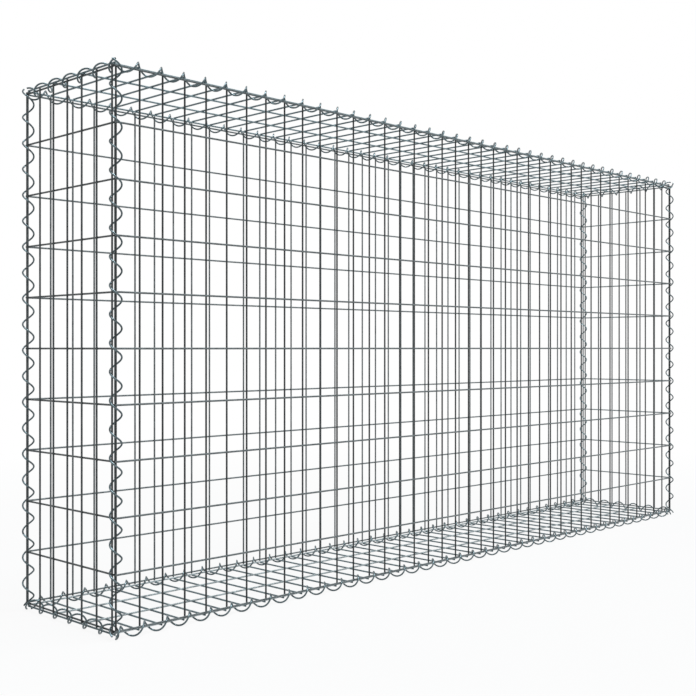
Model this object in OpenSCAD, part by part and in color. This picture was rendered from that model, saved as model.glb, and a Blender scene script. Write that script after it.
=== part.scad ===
// Welded-mesh gabion basket: six panels of welded steel wire, laced along all
// twelve edges with spirals of the same wire, closed and ready to be filled.
// +X runs along the length, +Y to the back, +Z up. The origin is under the
// middle of the basket, on the ground. All sizes are in millimetres.

/* [Basket] */
// Length of the front panel, first upright to last
basket_length = 2000; // [500:50:3000]
// Depth of an end panel, first upright to last
basket_depth = 300; // [200:50:1000]
// Height, lowest line wire to highest
basket_height = 1000; // [300:50:1500]

/* [Mesh] */
// Distance between neighbouring uprights, and between the cross wires of the base and lid
upright_spacing = 50; // [40:1:75]
// Distance between neighbouring line wires
line_spacing = 100; // [75:5:150]
// Thickness of the mesh wire
wire_diameter = 3; // [2.5:0.1:4]
// Depth to which crossing wires are welded into each other
weld_depth = 0.15; // [0.05:0.05:0.4]
// Length of wire left standing past its last weld
wire_end = 3; // [2:0.1:3.1]

/* [Lacing spirals] */
// Thickness of the spiral wire
spiral_wire_diameter = 3; // [2.5:0.1:4]
// Radius of a spiral, measured to the middle of its wire
spiral_radius = 10; // [9.5:0.1:13]
// Length of a spiral past each end of its edge
spiral_overrun = 7; // [5:0.5:7.5]

/* [Hidden] */
// A wire is drawn as a square bar of the same cross-section area as the round wire
bar_share = sqrt(PI) / 2;
wire_bar = wire_diameter * bar_share;
// Distance between the two layers of wire in a panel
layer_step = wire_bar - weld_depth;

// Spaces between wires along each edge, evened out to the length of the edge
cells_length = round(basket_length / upright_spacing);
cells_depth = round(basket_depth / upright_spacing);
cells_height = round(basket_height / line_spacing);
strips_depth = round(basket_depth / line_spacing);
length_step = basket_length / cells_length;
depth_step = basket_depth / cells_depth;
height_step = basket_height / cells_height;
strip_step = basket_depth / strips_depth;
// The long panels are drawn in two halves that meet between two uprights
first_half = floor(cells_length / 2);
half_line = -basket_length / 2 + (first_half + 0.5) * length_step;

// Where the uprights of the front panel, the uprights of an end panel and the
// long wires of the base stand, so that neighbouring panels clear each other
front_plane = basket_depth / 2 + wire_diameter + 2;
end_plane = basket_length / 2 + wire_diameter * 1.5;
base_drop = wire_diameter + 1;
cross_drop = base_drop + layer_step;

// A spiral is drawn with eight straight lengths of a square bar to a turn, the
// mean of its corners and flats lying on the spiral radius
steps_per_turn = 8;
step_angle = 360 / steps_per_turn;
flat_share = cos(step_angle / 2);
corner_radius = spiral_radius * 2 / (1 + flat_share);
bar_half = spiral_wire_diameter * bar_share / 2;
outer_flat = (corner_radius + bar_half) * flat_share;
// Steps left off a spiral where it would run into the spiral of the next edge
short_end = 2;
// How much further a corner spiral runs past the lid than past the base
corner_rise = 4;
// Distance from the middle of a spiral to the wire it hangs on
hang_slack = 0.6;
hang = spiral_radius - (spiral_wire_diameter + wire_diameter) / 2 - hang_slack;

// Turns of the spirals: one to each upright along the base and lid, two to each line space
turns_length = cells_length;
turns_depth = cells_depth;
turns_height = 2 * cells_height;

// Middle of each kind of spiral, from the middle of the basket and its lowest line wire
corner_x = end_plane - 0.77 * hang;
corner_y = basket_depth / 2 + 0.64 * hang;
long_y = basket_depth / 2 + 0.98 * hang;
long_drop = base_drop - 0.16 * hang;
// The short spirals lie level with the long ones and bear on the uprights of the ends
short_x = basket_length / 2 - 0.44 * hang;
short_drop = long_drop;
// Height of the lowest line wire above the ground, on which the long spirals rest
lift = long_drop + outer_flat;

// Angles at which the spirals start, chosen so that they pass between the wires
corner_left_start = 202.5;
corner_right_start = 292.5;
base_long_start = 202.5;
lid_long_start = 112.5;
base_short_start = 202.5;
lid_short_start = 337.5;

// A straight wire along +Z
module wire(from, to) {
    translate([-wire_bar / 2, -wire_bar / 2, from])
        cube([wire_bar, wire_bar, to - from]);
}

// Flat panel in the XZ plane: uprights at y = 0, line wires welded on at y = layer
module panel(uprights, lines, left, right, bottom, top, layer) {
    for (x = uprights)
        translate([x, 0, 0])
            wire(bottom, top);
    for (z = lines)
        translate([0, layer, z])
            rotate([0, 90, 0])
                wire(left, right);
}

function along(first, last, step, start) = [for (i = [first:last]) start + i * step];
function length_wires(first, last) = along(first, last, length_step, -basket_length / 2);
function height_wires() = along(0, cells_height, height_step, 0);

// Front panel from one upright to another, between two ends of its line wires
module front_part(first, last, left, right) {
    translate([0, -front_plane, lift])
        panel(length_wires(first, last), height_wires(), left, right,
            -wire_end, basket_height + wire_end, -layer_step);
}

module front_left_half() {
    front_part(0, first_half, -basket_length / 2 - wire_end, half_line);
}

module front_right_half() {
    front_part(first_half + 1, cells_length, half_line, basket_length / 2 + wire_end);
}

// End panel with its line wires on the inside
module left_end() {
    translate([-end_plane, 0, lift])
        rotate([0, 0, 90])
            panel(along(0, cells_depth, depth_step, -basket_depth / 2), height_wires(),
                -basket_depth / 2 - wire_end, basket_depth / 2 + wire_end,
                -wire_end, basket_height + wire_end, -layer_step);
}

// Base or lid, with its cross wires on the outside of its long wires
module flat_panel(height, layer) {
    translate([0, 0, height])
        rotate([90, 0, 0])
            panel(length_wires(0, cells_length), along(0, strips_depth, strip_step, -basket_depth / 2),
                -basket_length / 2 - wire_end, basket_length / 2 + wire_end,
                -basket_depth / 2 - wire_end, basket_depth / 2 + wire_end, layer);
}

// Left-handed spiral about +Z, over an edge that starts at z = 0
module spiral(edge, turns, start, first, last) {
    pitch = (edge + 2 * spiral_overrun) / turns;
    lead = atan(pitch / (2 * PI * spiral_radius));
    bar_rise = bar_half / cos(lead);
    ends = [for (i = [first:last]) [start - i * step_angle, i * pitch / steps_per_turn - spiral_overrun]];
    corners = [
        [bar_half, bar_rise], [-bar_half, bar_rise], [-bar_half, -bar_rise], [bar_half, -bar_rise]
    ];
    points = [
        for (e = ends)
            for (c = corners)
                [(corner_radius + c[0]) * cos(e[0]), (corner_radius + c[0]) * sin(e[0]), e[1] + c[1]]
    ];
    count = len(ends);
    sides = [
        for (i = [0:count - 2])
            for (j = [0:3])
                let (k = (j + 1) % 4, here = 4 * i, next = 4 * i + 4)
                    each [[here + j, next + j, next + k], [here + j, next + k, here + k]]
    ];
    tail = 4 * (count - 1);
    head_cap = [[0, 1, 2], [0, 2, 3]];
    tail_cap = [[tail + 3, tail + 2, tail + 1], [tail + 3, tail + 1, tail]];
    polyhedron(points, concat(head_cap, sides, tail_cap));
}

// Spiral up a front corner
module corner_spiral(x, start) {
    translate([x, -corner_y, lift])
        spiral(basket_height + corner_rise, turns_height, start, 0, turns_height * steps_per_turn);
}

// Spiral along the front edge of the base or lid
module long_spiral(height, start, first) {
    translate([-basket_length / 2, -long_y, height])
        multmatrix([[0, 0, 1, 0], [1, 0, 0, 0], [0, 1, 0, 0]])
            spiral(basket_length, turns_length, start, first, turns_length * steps_per_turn - short_end);
}

// Spiral along the left edge of the base or lid
module short_spiral(height, start) {
    translate([-short_x, -basket_depth / 2, height])
        multmatrix([[0, 1, 0, 0], [0, 0, 1, 0], [1, 0, 0, 0]])
            spiral(basket_depth, turns_depth, start, 0, turns_depth * steps_per_turn);
}

// The back and the right are the front and the left turned half round
module turned() {
    rotate([0, 0, 180])
        children();
}

module front_mesh_left() { color("#8d9194") front_left_half(); }
module front_mesh_right() { color("#8d9194") front_right_half(); }
module back_mesh_left() { color("#8d9194") turned() front_right_half(); }
module back_mesh_right() { color("#8d9194") turned() front_left_half(); }
module left_end_mesh() { color("#8d9194") left_end(); }
module right_end_mesh() { color("#8d9194") turned() left_end(); }
module base_mesh() { color("#8d9194") flat_panel(lift - cross_drop, layer_step); }
module lid_mesh() { color("#8d9194") flat_panel(lift + basket_height + cross_drop, -layer_step); }
module front_left_corner_spiral() { color("#7f868b") corner_spiral(-corner_x, corner_left_start); }
module front_right_corner_spiral() { color("#7f868b") corner_spiral(corner_x, corner_right_start); }
module back_left_corner_spiral() { color("#7f868b") turned() corner_spiral(corner_x, corner_right_start); }
module back_right_corner_spiral() { color("#7f868b") turned() corner_spiral(-corner_x, corner_left_start); }
module base_front_spiral() { color("#7f868b") long_spiral(lift - long_drop, base_long_start, 0); }
module base_back_spiral() { color("#7f868b") turned() long_spiral(lift - long_drop, base_long_start, 0); }
module base_left_spiral() { color("#7f868b") short_spiral(lift - short_drop, base_short_start); }
module base_right_spiral() { color("#7f868b") turned() short_spiral(lift - short_drop, base_short_start); }
module lid_front_spiral() {
    color("#7f868b") long_spiral(lift + basket_height + long_drop, lid_long_start, short_end);
}
module lid_back_spiral() {
    color("#7f868b") turned() long_spiral(lift + basket_height + long_drop, lid_long_start, short_end);
}
module lid_left_spiral() {
    color("#7f868b") short_spiral(lift + basket_height + short_drop, lid_short_start);
}
module lid_right_spiral() {
    color("#7f868b") turned() short_spiral(lift + basket_height + short_drop, lid_short_start);
}

front_mesh_left();
front_mesh_right();
back_mesh_left();
back_mesh_right();
left_end_mesh();
right_end_mesh();
base_mesh();
lid_mesh();
front_left_corner_spiral();
front_right_corner_spiral();
back_left_corner_spiral();
back_right_corner_spiral();
base_front_spiral();
base_back_spiral();
base_left_spiral();
base_right_spiral();
lid_front_spiral();
lid_back_spiral();
lid_left_spiral();
lid_right_spiral();
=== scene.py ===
import math

import bpy
from mathutils import Matrix, Vector


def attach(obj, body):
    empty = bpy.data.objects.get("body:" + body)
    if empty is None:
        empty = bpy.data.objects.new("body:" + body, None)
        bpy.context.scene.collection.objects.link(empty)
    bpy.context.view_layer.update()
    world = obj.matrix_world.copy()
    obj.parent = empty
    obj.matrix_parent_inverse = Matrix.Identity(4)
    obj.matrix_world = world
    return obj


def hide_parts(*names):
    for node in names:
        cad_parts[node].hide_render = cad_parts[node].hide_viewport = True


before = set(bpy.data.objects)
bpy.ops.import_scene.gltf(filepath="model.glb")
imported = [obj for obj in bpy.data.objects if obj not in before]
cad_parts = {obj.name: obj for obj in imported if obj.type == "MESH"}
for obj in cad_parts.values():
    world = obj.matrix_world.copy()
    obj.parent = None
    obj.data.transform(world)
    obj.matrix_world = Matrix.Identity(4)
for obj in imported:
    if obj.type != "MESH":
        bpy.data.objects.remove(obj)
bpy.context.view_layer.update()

# Base panel
# One flat sheet of welded mesh: 41 cross wires under four long wires, pressed about a millimetre into each
# other and resistance welded. The long wires are painted paler than the cross wires, a painted highlight from
# the light above. The zinc is dull and mottled; each end is sheared square.
wire_thickness = 0.0036
weld_set_in = 0.0010913
layer_step = wire_thickness - weld_set_in
weld_width = 0.0046
weld_thickness = 0.0040
smallest_weld = 0.82
largest_weld = 1.12
weld_seed = 7
cut_overhang = 0.003
first_line_wire_height = 0.0138085
basket_height = 1.0
basket_length = 2.0
basket_depth = 0.3
mesh_width = 0.05
mesh_height = 0.1


def add_node(tree, kind, inputs=None, **settings):
    """Adds a node, sets it up, and links or sets its inputs by name."""
    made = tree.nodes.new(kind)
    for name, value in settings.items():
        setattr(made, name, value)
    for name, value in (inputs or {}).items():
        if isinstance(value, bpy.types.NodeSocket):
            tree.links.new(value, made.inputs[name])
        else:
            made.inputs[name].default_value = value
    return made


def new_tree(name, sizes):
    """Starts a Geometry Nodes tree with one named input for each size and a mesh as its output."""
    tree = bpy.data.node_groups.new(name, "GeometryNodeTree")
    for size, kind in sizes.items():
        tree.interface.new_socket(size, in_out="INPUT", socket_type="NodeSocket" + kind)
    tree.interface.new_socket("Wire", in_out="OUTPUT", socket_type="NodeSocketGeometry")
    return tree, tree.nodes.new("NodeGroupInput").outputs


def maths(tree, operation, *values):
    """One sum on up to three numbers or sockets."""
    made = tree.nodes.new("ShaderNodeMath")
    made.operation = operation
    for socket, value in zip(made.inputs, values):
        if isinstance(value, bpy.types.NodeSocket):
            tree.links.new(value, socket)
        else:
            socket.default_value = value
    return made.outputs[0]


def along(tree, axis, distance):
    """A vector of the given length along X, Y or Z."""
    return add_node(tree, "ShaderNodeCombineXYZ", {axis: distance}).outputs[0]


def pick_by_index(tree, values):
    """Gives the first, second, third value to the first, second, third point."""
    made = add_node(tree, "GeometryNodeIndexSwitch", data_type="FLOAT")
    while len(made.index_switch_items) < len(values):
        made.index_switch_items.new()
    tree.links.new(tree.nodes.new("GeometryNodeInputIndex").outputs[0], made.inputs["Index"])
    for socket, value in zip(list(made.inputs)[1:], values):
        if isinstance(value, bpy.types.NodeSocket):
            tree.links.new(value, socket)
        else:
            socket.default_value = value
    return made.outputs[0]


wire_sides = 12
cut_bevel = 0.0005
cut_face = 0.7
crisp_bend = math.radians(38)


def drawn_wire(tree, path, thickness, size=1.0):
    """Draws a path out to a round wire, and keeps the place round and along it for the draw marks."""
    radius = maths(tree, "MULTIPLY", thickness, 0.5)
    ring = add_node(tree, "GeometryNodeCurvePrimitiveCircle", {"Resolution": wire_sides, "Radius": radius})
    marked_ring = add_node(
        tree, "GeometryNodeStoreNamedAttribute",
        {"Geometry": ring.outputs["Curve"], "Name": "round_wire",
         "Value": tree.nodes.new("GeometryNodeInputPosition").outputs[0]},
        data_type="FLOAT_VECTOR", domain="POINT")
    run = tree.nodes.new("GeometryNodeSplineParameter").outputs["Length"]
    marked_path = add_node(
        tree, "GeometryNodeStoreNamedAttribute",
        {"Geometry": path, "Name": "along_wire", "Value": run}, data_type="FLOAT", domain="POINT")
    wire = add_node(
        tree, "GeometryNodeCurveToMesh",
        {"Curve": marked_path.outputs[0], "Profile Curve": marked_ring.outputs[0], "Scale": size,
         "Fill Caps": True})
    return wire.outputs[0]


def straight_wire(tree, axis, low, high, thickness):
    """A straight length of wire along one axis, its two ends sheared and slightly rounded."""
    line = add_node(tree, "GeometryNodeCurvePrimitiveLine")
    cuts = add_node(tree, "GeometryNodeSubdivideCurve", {"Curve": line.outputs[0], "Cuts": 2})
    stops = [low, maths(tree, "ADD", low, cut_bevel), maths(tree, "SUBTRACT", high, cut_bevel), high]
    place = along(tree, axis, pick_by_index(tree, stops))
    path = add_node(tree, "GeometryNodeSetPosition", {"Geometry": cuts.outputs[0], "Position": place})
    ends = pick_by_index(tree, [cut_face, 1.0, 1.0, cut_face])
    return drawn_wire(tree, path.outputs[0], thickness, ends)


def smooth_wire(tree, wire):
    """Shades a wire round, and keeps the edges of its cut ends crisp."""
    smooth = add_node(tree, "GeometryNodeSetShadeSmooth", {"Geometry": wire, "Shade Smooth": True})
    bend = tree.nodes.new("GeometryNodeInputMeshEdgeAngle").outputs["Unsigned Angle"]
    crisp = add_node(
        tree, "GeometryNodeSetShadeSmooth",
        {"Geometry": smooth.outputs[0], "Selection": maths(tree, "GREATER_THAN", bend, crisp_bend),
         "Shade Smooth": False}, domain="EDGE")
    return crisp.outputs[0]


def coat_wire(tree, wires, zinc):
    """Makes copies of a wire real, and gives them their zinc."""
    real = add_node(tree, "GeometryNodeRealizeInstances", {"Geometry": wires})
    coat = add_node(tree, "GeometryNodeSetMaterial", {"Geometry": real.outputs[0], "Material": zinc})
    return coat.outputs[0]


def welded_panel_tree():
    """A flat welded panel: uprights along Z in the plane y = 0, line wires along X before them at -Y."""
    tree, size = new_tree("welded panel", {
        "Uprights": "Int", "First upright": "Float", "Upright spacing": "Float",
        "Upright low end": "Float", "Upright high end": "Float",
        "Line wires": "Int", "First line wire": "Float", "Line wire spacing": "Float",
        "Line wire half length": "Float", "Layer step": "Float", "Wire thickness": "Float",
        "Weld width": "Float", "Weld thickness": "Float",
        "Upright zinc": "Material", "Line wire zinc": "Material"})
    upright = straight_wire(
        tree, "Z", size["Upright low end"], size["Upright high end"], size["Wire thickness"])
    upright_row = add_node(tree, "GeometryNodeMeshLine", {
        "Count": size["Uprights"], "Start Location": along(tree, "X", size["First upright"]),
        "Offset": along(tree, "X", size["Upright spacing"])})
    uprights = add_node(tree, "GeometryNodeInstanceOnPoints", {
        "Points": upright_row.outputs[0], "Instance": smooth_wire(tree, upright)})

    left_end = maths(tree, "MULTIPLY", size["Line wire half length"], -1.0)
    line_wire = straight_wire(tree, "X", left_end, size["Line wire half length"], size["Wire thickness"])
    outside = maths(tree, "MULTIPLY", size["Layer step"], -1.0)
    line_start = add_node(tree, "ShaderNodeCombineXYZ", {"Y": outside, "Z": size["First line wire"]})
    line_row = add_node(tree, "GeometryNodeMeshLine", {
        "Count": size["Line wires"], "Start Location": line_start.outputs[0],
        "Offset": along(tree, "Z", size["Line wire spacing"])})
    line_wires = add_node(tree, "GeometryNodeInstanceOnPoints", {
        "Points": line_row.outputs[0], "Instance": smooth_wire(tree, line_wire)})

    bead = add_node(tree, "GeometryNodeMeshUVSphere", {"Segments": 8, "Rings": 5, "Radius": 0.5})
    burnt_bead = add_node(
        tree, "GeometryNodeStoreNamedAttribute",
        {"Geometry": bead.outputs["Mesh"], "Name": "weld", "Value": 1.0}, data_type="FLOAT", domain="POINT")
    squashed = add_node(tree, "ShaderNodeCombineXYZ", {
        "X": size["Weld width"], "Y": size["Weld thickness"], "Z": size["Weld width"]})
    half_step = maths(tree, "MULTIPLY", outside, 0.5)
    weld_start = add_node(tree, "ShaderNodeCombineXYZ", {"X": size["First upright"], "Y": half_step})
    weld_column = add_node(tree, "GeometryNodeMeshLine", {
        "Count": size["Uprights"], "Start Location": weld_start.outputs[0],
        "Offset": along(tree, "X", size["Upright spacing"])})
    weld_rise = add_node(tree, "GeometryNodeMeshLine", {
        "Count": size["Line wires"], "Start Location": along(tree, "Z", size["First line wire"]),
        "Offset": along(tree, "Z", size["Line wire spacing"])})
    weld_grid = add_node(tree, "GeometryNodeInstanceOnPoints", {
        "Points": weld_column.outputs[0], "Instance": weld_rise.outputs[0]})
    weld_points = add_node(tree, "GeometryNodeRealizeInstances", {"Geometry": weld_grid.outputs[0]})
    # the least and the most of a plain random number are sockets 2 and 3, and it comes out of socket 1
    uneven = add_node(
        tree, "FunctionNodeRandomValue", {2: smallest_weld, 3: largest_weld, "Seed": weld_seed},
        data_type="FLOAT")
    uneven_size = add_node(
        tree, "ShaderNodeVectorMath", {0: squashed.outputs[0], "Scale": uneven.outputs[1]}, operation="SCALE")
    welds = add_node(tree, "GeometryNodeInstanceOnPoints", {
        "Points": weld_points.outputs[0], "Scale": uneven_size.outputs[0],
        "Instance": smooth_wire(tree, burnt_bead.outputs[0])})

    panel = tree.nodes.new("GeometryNodeJoinGeometry")
    for wires, zinc in ((uprights, "Upright zinc"), (line_wires, "Line wire zinc"), (welds, "Upright zinc")):
        tree.links.new(coat_wire(tree, wires.outputs[0], size[zinc]), panel.inputs[0])
    tree.links.new(panel.outputs[0], tree.nodes.new("NodeGroupOutput").inputs[0])
    return tree


clear_zinc = (0.92, 1.03, 1.05)
blue_zinc = (0.8, 1.06, 1.14)
zinc_shades = ((0.38, 0.62), (0.66, 1.0), (0.95, 1.5))
crystal_share = 0.35
weld_shade = 0.496
weld_burn = 0.6
weld_dullness = 0.15
draw_mark_stretch = 0.02
smoother_patch = 0.07
duller_patch = 0.09
zinc_shine = 0.2
dull_metal = 0.2


def zinc_colour(grey, tint, share):
    """The zinc's grey, tinted and made darker or paler by a share."""
    return (*[share * grey * part for part in tint], 1.0)


def zinc_coat(name, grey, tint, roughness, metal=dull_metal):
    """Galvanised wire: cloudy zinc with faint crystals, draw marks along the wire and dull grey welds."""
    coat = bpy.data.materials.new(name)
    coat.use_nodes = True
    tree = coat.node_tree
    shader = tree.nodes["Principled BSDF"]
    shader.inputs["Metallic"].default_value = metal
    shader.inputs["Specular IOR Level"].default_value = zinc_shine
    place = tree.nodes.new("ShaderNodeTexCoord").outputs["Object"]
    cloud = add_node(tree, "ShaderNodeTexNoise", {
        "Vector": place, "Scale": 70.0, "Detail": 5.0, "Roughness": 0.6}).outputs["Fac"]
    crystal = add_node(tree, "ShaderNodeTexVoronoi", {"Vector": place, "Scale": 420.0, "Randomness": 1.0})
    crystal_grey = add_node(tree, "ShaderNodeSeparateColor", {"Color": crystal.outputs["Color"]})
    mottle = maths(tree, "MULTIPLY_ADD", crystal_grey.outputs["Red"], crystal_share, cloud)
    tone = add_node(tree, "ShaderNodeValToRGB", {"Fac": mottle})
    stops = tone.color_ramp.elements
    stops.new(zinc_shades[1][0])
    for stop, (position, share) in zip(stops, zinc_shades):
        stop.position = position
        stop.color = zinc_colour(grey, tint, share)

    weld = add_node(tree, "ShaderNodeAttribute", attribute_name="weld").outputs["Fac"]
    # the two colours of a Mix node are its sockets 6 and 7, and the mixed colour comes out of socket 2
    burnt_tone = add_node(
        tree, "ShaderNodeMix",
        {"Factor": maths(tree, "MULTIPLY", weld, weld_burn), 6: tone.outputs["Color"],
         7: zinc_colour(grey, tint, weld_shade)}, data_type="RGBA")
    tree.links.new(burnt_tone.outputs[2], shader.inputs["Base Color"])

    round_wire = add_node(tree, "ShaderNodeAttribute", attribute_name="round_wire").outputs["Vector"]
    run = add_node(tree, "ShaderNodeAttribute", attribute_name="along_wire").outputs["Fac"]
    slow_run = along(tree, "Z", maths(tree, "MULTIPLY", run, draw_mark_stretch))
    drawn_place = add_node(tree, "ShaderNodeVectorMath", {0: round_wire, 1: slow_run})
    draw_marks = add_node(tree, "ShaderNodeTexNoise", {
        "Vector": drawn_place.outputs[0], "Scale": 2400.0, "Detail": 2.0})
    dull = add_node(tree, "ShaderNodeMapRange", {
        "Value": cloud, "From Min": 0.3, "From Max": 0.7,
        "To Min": roughness - smoother_patch, "To Max": roughness + duller_patch})
    dull_weld = maths(tree, "MULTIPLY_ADD", weld, weld_dullness, dull.outputs[0])
    tree.links.new(dull_weld, shader.inputs["Roughness"])

    grain = add_node(tree, "ShaderNodeTexNoise", {"Vector": place, "Scale": 1600.0, "Detail": 3.0})
    surface = maths(tree, "ADD", draw_marks.outputs["Fac"], grain.outputs["Fac"])
    bump = add_node(tree, "ShaderNodeBump", {"Height": surface, "Strength": 0.35, "Distance": 0.0001})
    tree.links.new(bump.outputs[0], shader.inputs["Normal"])
    return coat


def run_tree(name, tree, values):
    """Runs a tree on an empty object, and keeps the result as a plain mesh without the beads' empty slot."""
    piece = bpy.data.objects.new(name, bpy.data.meshes.new(name))
    bpy.context.scene.collection.objects.link(piece)
    maker = piece.modifiers.new("maker", "NODES")
    maker.node_group = tree
    for item in tree.interface.items_tree:
        if item.in_out == "INPUT":
            maker[item.identifier] = values[item.name]
    depsgraph = bpy.context.evaluated_depsgraph_get()
    made = bpy.data.meshes.new_from_object(
        piece.evaluated_get(depsgraph), preserve_all_data_layers=True, depsgraph=depsgraph)
    piece.modifiers.remove(maker)
    if made.materials[0] is None:
        made.materials.pop(index=0)
    piece.data = made
    made.name = name
    return piece


base_cross_zinc = zinc_coat("base_cross_zinc", 0.195, blue_zinc, 0.32)
# painted highlight: the long wires are painted paler than the cross wires, as if lit from above
base_long_painted_highlight_zinc = zinc_coat("base_long_painted_highlight_zinc", 0.46, clear_zinc, 0.32)
welded_panel = welded_panel_tree()


def make_panel(name, nodes, zincs, place, uprights, upright_ends, line_wires, first_line_wire, half_length):
    """Welds one flat panel, sets it in its place and puts it for its CAD nodes."""
    first_upright = -mesh_width * (uprights - 1) / 2
    panel = run_tree(name, welded_panel, {
        "Uprights": uprights, "First upright": first_upright, "Upright spacing": mesh_width,
        "Upright low end": upright_ends[0], "Upright high end": upright_ends[1],
        "Line wires": line_wires, "First line wire": first_line_wire, "Line wire spacing": mesh_height,
        "Line wire half length": half_length, "Layer step": layer_step, "Wire thickness": wire_thickness,
        "Weld width": weld_width, "Weld thickness": weld_thickness,
        "Upright zinc": zincs[0], "Line wire zinc": zincs[1]})
    panel.data.transform(place)
    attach(panel, "root")
    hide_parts(*nodes)


long_wires = 4
first_long_wire = -basket_depth / 2
cross_wires = round(basket_length / mesh_width) + 1
half_turn = Matrix.Rotation(math.pi, 4, "Z")
base_gap = 0.004
base_cross_height = first_line_wire_height - base_gap - layer_step
cross_end = basket_depth / 2 + cut_overhang
long_end_trim = 0.0006
long_end = basket_length / 2 + cut_overhang - long_end_trim
base_place = Matrix.Translation((0, 0, base_cross_height)) @ Matrix.Rotation(-math.pi / 2, 4, "X")
make_panel("base_panel", ["base_mesh"], (base_cross_zinc, base_long_painted_highlight_zinc), base_place, cross_wires,
           (-cross_end, cross_end), long_wires, first_long_wire, long_end)

# Front and back panels
# Two like sheets of the same mesh, stood on edge 310 mm apart: 41 uprights, and 11 line wires welded on
# their outer side. The front uprights are painted nearly black, painted shade, and the line wires paler, a
# painted highlight from the light above. The back one is the same, turned half round, but its uprights and
# line wires are painted paler than the front's, painted light on the far side.
# painted shade: the front uprights are nearly black; painted highlight: the front line wires are paler
front_upright_painted_shade_zinc = zinc_coat("front_upright_painted_shade_zinc", 0.05, clear_zinc, 0.36)
front_line_painted_highlight_zinc = zinc_coat("front_line_painted_highlight_zinc", 0.165, clear_zinc, 0.34)
# painted light: the back panel's uprights and line wires are paler than the front's
back_upright_painted_light_zinc = zinc_coat("back_upright_painted_light_zinc", 0.165, clear_zinc, 0.36)
back_line_painted_light_zinc = zinc_coat("back_line_painted_light_zinc", 0.21, clear_zinc, 0.36)
front_plane = 0.155
side_lines = round(basket_height / mesh_height) + 1
lowest_side_line = 0.0
upright_ends = (-cut_overhang, basket_height + cut_overhang)
front_place = Matrix.Translation((0, -front_plane, first_line_wire_height))
front_end = basket_length / 2 + cut_overhang
make_panel("front_panel", ["front_mesh_left", "front_mesh_right"], (front_upright_painted_shade_zinc, front_line_painted_highlight_zinc),
           front_place, cross_wires, upright_ends, side_lines, lowest_side_line, front_end)
make_panel("back_panel", ["back_mesh_left", "back_mesh_right"], (back_upright_painted_light_zinc, back_line_painted_light_zinc),
           half_turn @ front_place, cross_wires, upright_ends, side_lines, lowest_side_line, front_end)

# End panels
# Two short sheets that close the ends: seven uprights on the outer side of 11 line wires. They stand a few
# millimetres clear of the long panels for the lacing spirals. The right one's line wires are painted paler,
# painted light on the far end.
left_end_zinc = zinc_coat("left_end_zinc", 0.08, clear_zinc, 0.34)
right_upright_zinc = zinc_coat("right_upright_zinc", 0.1, clear_zinc, 0.36)
# painted light: the right end's line wires are paler than the left end's
right_line_painted_light_zinc = zinc_coat("right_line_painted_light_zinc", 0.28, clear_zinc, 0.36)
end_plane = 1.0045
end_uprights = round(basket_depth / mesh_width) + 1
quarter_round = Matrix.Rotation(math.pi / 2, 4, "Z")
left_place = Matrix.Translation((-end_plane, 0, first_line_wire_height)) @ quarter_round
make_panel("left_end_panel", ["left_end_mesh"], (left_end_zinc, left_end_zinc), left_place, end_uprights,
           upright_ends, side_lines, lowest_side_line, cross_end)
make_panel("right_end_panel", ["right_end_mesh"], (right_upright_zinc, right_line_painted_light_zinc),
           half_turn @ left_place, end_uprights, upright_ends, side_lines, lowest_side_line, cross_end)

# Corner spirals
# Four lengths of springy zinc-coated wire wound left-handed, about a turn to each mesh, and screwed down the
# corners so that they pass round the outermost upright of both panels. The back right one is painted paler,
# painted light on the far corner.
spiral_radius = 0.0105
spiral_wire = 0.0034
spiral_overrun = 0.007
points_per_turn = 24


def lacing_spiral_tree():
    """A left-handed spiral round the Z axis, cut square at both ends."""
    tree, size = new_tree("lacing spiral", {
        "Turns": "Float", "First turn": "Float", "Turn length": "Float", "Spiral radius": "Float",
        "Start angle": "Float", "Start": "Float", "Wire thickness": "Float", "Zinc": "Material"})
    line = tree.nodes.new("GeometryNodeCurvePrimitiveLine")
    steps = maths(tree, "MULTIPLY", size["Turns"], points_per_turn)
    count = maths(tree, "ADD", steps, 1.0)
    path = add_node(tree, "GeometryNodeResampleCurve", {"Curve": line.outputs[0], "Count": count})
    index = tree.nodes.new("GeometryNodeInputIndex").outputs[0]
    turn = maths(tree, "ADD", maths(tree, "DIVIDE", index, points_per_turn), size["First turn"])
    angle = maths(tree, "SUBTRACT", size["Start angle"], maths(tree, "MULTIPLY", turn, 2 * math.pi))
    across = maths(tree, "MULTIPLY", maths(tree, "COSINE", angle), size["Spiral radius"])
    forward = maths(tree, "MULTIPLY", maths(tree, "SINE", angle), size["Spiral radius"])
    rise = maths(tree, "ADD", maths(tree, "MULTIPLY", turn, size["Turn length"]), size["Start"])
    place = add_node(tree, "ShaderNodeCombineXYZ", {"X": across, "Y": forward, "Z": rise})
    wound = add_node(tree, "GeometryNodeSetPosition", {
        "Geometry": path.outputs[0], "Position": place.outputs[0]})
    wire = smooth_wire(tree, drawn_wire(tree, wound.outputs[0], size["Wire thickness"]))
    tree.links.new(coat_wire(tree, wire, size["Zinc"]), tree.nodes.new("NodeGroupOutput").inputs[0])
    return tree


lacing_spiral = lacing_spiral_tree()
bright_metal = 0.7
spiral_zinc = zinc_coat("spiral_zinc", 0.13, blue_zinc, 0.2, bright_metal)
# painted light: the back right spiral is painted paler than the other spirals
painted_light_spiral_zinc = zinc_coat("painted_light_spiral_zinc", 0.3, blue_zinc, 0.2, bright_metal)


def make_spiral(name, place, edge_length, whole_turns, start_angle, first_turn=0.0, last_turn=0.0,
                zinc=spiral_zinc):
    """Winds one spiral along its edge, cut short where it would meet the next one, and sets it in place."""
    spiral = run_tree(name.replace("_spiral", "_lacing"), lacing_spiral, {
        "Turns": whole_turns - first_turn - last_turn, "First turn": first_turn,
        "Turn length": (edge_length + 2 * spiral_overrun) / whole_turns, "Spiral radius": spiral_radius,
        "Start angle": math.radians(start_angle), "Start": -spiral_overrun,
        "Wire thickness": spiral_wire, "Zinc": zinc})
    spiral.data.transform(place)
    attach(spiral, "root")
    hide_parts(name)


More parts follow.
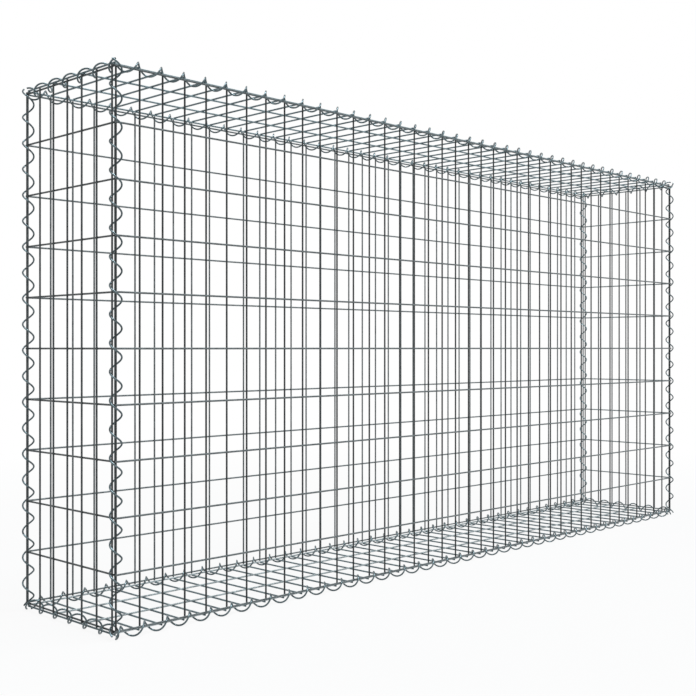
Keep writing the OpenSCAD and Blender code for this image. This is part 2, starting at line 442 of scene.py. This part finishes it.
corner_x = 0.999572
corner_y = 0.154096
corner_turns = 20
corner_rise = 0.004
corner_length = basket_height + corner_rise
front_left = Matrix.Translation((-corner_x, -corner_y, first_line_wire_height))
front_right = Matrix.Translation((corner_x, -corner_y, first_line_wire_height))
left_start = 202.5
right_start = 292.5
make_spiral("front_left_corner_spiral", front_left, corner_length, corner_turns, left_start)
make_spiral("back_right_corner_spiral", half_turn @ front_left, corner_length, corner_turns, left_start,
            zinc=painted_light_spiral_zinc)
make_spiral("front_right_corner_spiral", front_right, corner_length, corner_turns, right_start)
make_spiral("back_left_corner_spiral", half_turn @ front_right, corner_length, corner_turns, right_start)

# Base spirals
# Four more spirals round the base, wound on the same former. The basket stands on the lowest turns of the
# two long ones, which stop a quarter turn short at one end; the short ones hold the end panels down.
along_length = Matrix(((0, 0, 1, 0), (1, 0, 0, 0), (0, 1, 0, 0), (0, 0, 0, 1)))
along_depth = Matrix(((0, 1, 0, 0), (0, 0, 1, 0), (1, 0, 0, 0), (0, 0, 0, 1)))
long_y = 0.156272
spiral_drop = 0.002976
short_x = 0.997184
long_turns = 40
short_turns = 6
base_line = first_line_wire_height - spiral_drop
base_front = Matrix.Translation((-basket_length / 2, -long_y, base_line)) @ along_length
base_left = Matrix.Translation((-short_x, -basket_depth / 2, base_line)) @ along_depth
base_start = 202.5
quarter = 0.25
make_spiral("base_front_spiral", base_front, basket_length, long_turns, base_start, last_turn=quarter)
make_spiral("base_back_spiral", half_turn @ base_front, basket_length, long_turns, base_start,
            last_turn=quarter)
make_spiral("base_left_spiral", base_left, basket_depth, short_turns, base_start)
make_spiral("base_right_spiral", half_turn @ base_left, basket_depth, short_turns, base_start)

# Lid panel
# The same sheet as the base, the other way up: its 41 cross wires lie on top of the four long wires. It is
# laid on once the stone is in, and laced down all round.
lid_cross_zinc = zinc_coat("lid_cross_zinc", 0.19, blue_zinc, 0.32)
# painted highlight: the lid's long wires are painted paler than its cross wires, as if lit from above
lid_long_painted_highlight_zinc = zinc_coat("lid_long_painted_highlight_zinc", 0.27, blue_zinc, 0.32)
lid_cross_height = first_line_wire_height + basket_height + base_gap + layer_step
lid_place = Matrix.Translation((0, 0, lid_cross_height)) @ Matrix.Rotation(math.pi / 2, 4, "X")
make_panel("lid_panel", ["lid_mesh"], (lid_cross_zinc, lid_long_painted_highlight_zinc), lid_place, cross_wires,
           (-cross_end, cross_end), long_wires, first_long_wire, long_end)

# Lid spirals
# The last four spirals, which close the basket. They go in after the lid, and the long ones are a quarter
# turn shorter at both ends so that they clear the short ones at the corners.
lid_line = first_line_wire_height + basket_height + spiral_drop
lid_front = Matrix.Translation((-basket_length / 2, -long_y, lid_line)) @ along_length
lid_left = Matrix.Translation((-short_x, -basket_depth / 2, lid_line)) @ along_depth
long_start = 112.5
short_start = 337.5
make_spiral("lid_front_spiral", lid_front, basket_length, long_turns, long_start, quarter, quarter)
make_spiral("lid_back_spiral", half_turn @ lid_front, basket_length, long_turns, long_start, quarter, quarter)
make_spiral("lid_left_spiral", lid_left, basket_depth, short_turns, short_start)
make_spiral("lid_right_spiral", half_turn @ lid_left, basket_depth, short_turns, short_start)

# Studio
# A pale floor that stays white round a faint shadow, white surroundings that the zinc reflects, and one wide
# softbox high overhead, so that the tops of the level wires are lit and the uprights stay dark.
scene = bpy.context.scene
scene.view_settings.view_transform = "Standard"


def seen_ray(tree):
    """One where the camera, a mirror or a glass looks, and nought where only light is gathered."""
    path = tree.nodes.new("ShaderNodeLightPath").outputs
    mirrored = maths(tree, "MAXIMUM", path["Is Camera Ray"], path["Is Glossy Ray"])
    return maths(tree, "MAXIMUM", mirrored, path["Is Transmission Ray"])


surroundings = bpy.data.worlds.new("white_studio")
surroundings.use_nodes = True
scene.world = surroundings
sky = surroundings.node_tree
background = sky.nodes["Background"]
background.inputs["Color"].default_value = (1.0, 1.0, 1.0, 1.0)
sky_light = 0.28
sky_level = add_node(sky, "ShaderNodeMapRange", {"Value": seen_ray(sky), "To Min": sky_light, "To Max": 1.0})
sky.links.new(sky_level.outputs[0], background.inputs["Strength"])

floor_half = 30.0
floor_level = -0.0014
floor_mesh = bpy.data.meshes.new("studio_floor")
floor_corners = [(-floor_half, -floor_half, floor_level), (floor_half, -floor_half, floor_level),
                 (floor_half, floor_half, floor_level), (-floor_half, floor_half, floor_level)]
floor_mesh.from_pydata(floor_corners, [], [(0, 1, 2, 3)])
floor = bpy.data.objects.new("studio_floor", floor_mesh)
scene.collection.objects.link(floor)
floor_paint = bpy.data.materials.new("pale_floor")
floor_paint.use_nodes = True
floor_tree = floor_paint.node_tree
floor_shader = floor_tree.nodes["Principled BSDF"]
floor_shader.inputs["Base Color"].default_value = (0.6, 0.6, 0.6, 1.0)
floor_shader.inputs["Roughness"].default_value = 0.9
floor_shader.inputs["Specular IOR Level"].default_value = 0.0
floor_glow = add_node(floor_tree, "ShaderNodeEmission", {"Color": (1.0, 1.0, 1.0, 1.0), "Strength": 1.0})
floor_place = floor_tree.nodes.new("ShaderNodeTexCoord").outputs["Object"]
from_basket = add_node(floor_tree, "ShaderNodeVectorMath", {0: floor_place}, operation="LENGTH")
clear_floor = add_node(floor_tree, "ShaderNodeMapRange", {
    "Value": from_basket.outputs["Value"], "From Min": 1.0, "From Max": 3.0, "To Min": 0.92, "To Max": 1.0})
whiten = maths(floor_tree, "MULTIPLY", seen_ray(floor_tree), clear_floor.outputs[0])
floor_mix = add_node(floor_tree, "ShaderNodeMixShader", {"Fac": whiten})
floor_tree.links.new(floor_shader.outputs[0], floor_mix.inputs[1])
floor_tree.links.new(floor_glow.outputs[0], floor_mix.inputs[2])
floor_tree.links.new(floor_mix.outputs[0], floor_tree.nodes["Material Output"].inputs["Surface"])
floor_mesh.materials.append(floor_paint)

softbox = bpy.data.lights.new("overhead_softbox", "AREA")
softbox.shape = "RECTANGLE"
softbox.size = 6.0
softbox.size_y = 2.0
softbox.energy = 850.0
softbox.color = (0.86, 0.95, 1.0)
softbox_stand = bpy.data.objects.new("overhead_softbox", softbox)
softbox_stand.location = (0.0, -2.0, 9.0)
softbox_aim = Vector((0.0, 0.0, basket_height / 2)) - softbox_stand.location
softbox_stand.rotation_euler = softbox_aim.to_track_quat("-Z", "Y").to_euler()
softbox_stand.visible_camera = False
scene.collection.objects.link(softbox_stand)

camera = bpy.data.cameras.new("corner_camera")
camera.sensor_fit = "HORIZONTAL"
camera.sensor_width = 36.0
focal_pixels = 1072.0
picture_pixels = 696.0
camera.lens = focal_pixels / picture_pixels * camera.sensor_width
camera_stand = bpy.data.objects.new("corner_camera", camera)
camera_stand.location = (-2.0587, -1.7775, 0.5148)
camera_heading = math.radians(45.344)
camera_stand.rotation_euler = (math.pi / 2, 0.0, -camera_heading)
scene.collection.objects.link(camera_stand)
scene.camera = camera_stand
